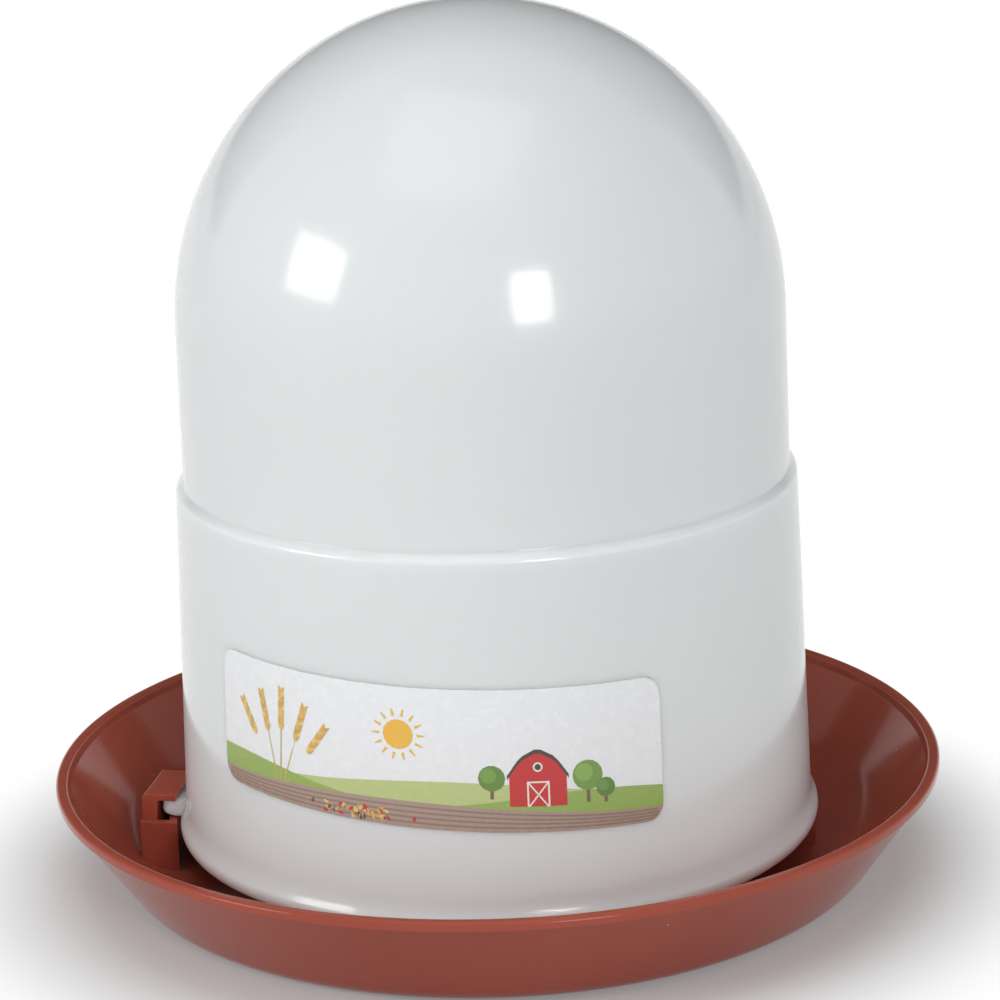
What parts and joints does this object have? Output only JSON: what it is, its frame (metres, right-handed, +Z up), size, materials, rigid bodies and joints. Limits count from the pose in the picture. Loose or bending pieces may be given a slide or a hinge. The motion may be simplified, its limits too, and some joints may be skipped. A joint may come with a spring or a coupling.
{
  "type": "poultry feeder",
  "caption": "Round poultry feeder: a domed translucent silo twist-locked into a wide sloping terracotta-coloured tray, with a label band.",
  "frame": {"origin": "centre of the ring on the floor that the tray stands on", "axes": "+Z up along the feeder's axis, -Y towards the side with the sticker, +X to the right seen from that side"},
  "size_m": [0.22, 0.22, 0.2164],
  "materials": {
    "tray_plastic": "glossy moulded terracotta plastic",
    "silo_plastic": "glossy translucent pale plastic",
    "label_film": "printed gloss film"
  },
  "bodies": {
    "tray": {"tray": "tray_plastic"},
    "silo": {"silo": "silo_plastic", "label": "label_film"}
  },
  "joints": [
    {"name": "silo_twist", "type": "hinge", "parent": "tray", "child": "silo", "pos_m": [0, 0, 0.0174], "axis": [0, 0, 1], "range_deg": [0, 14]}
  ]
}
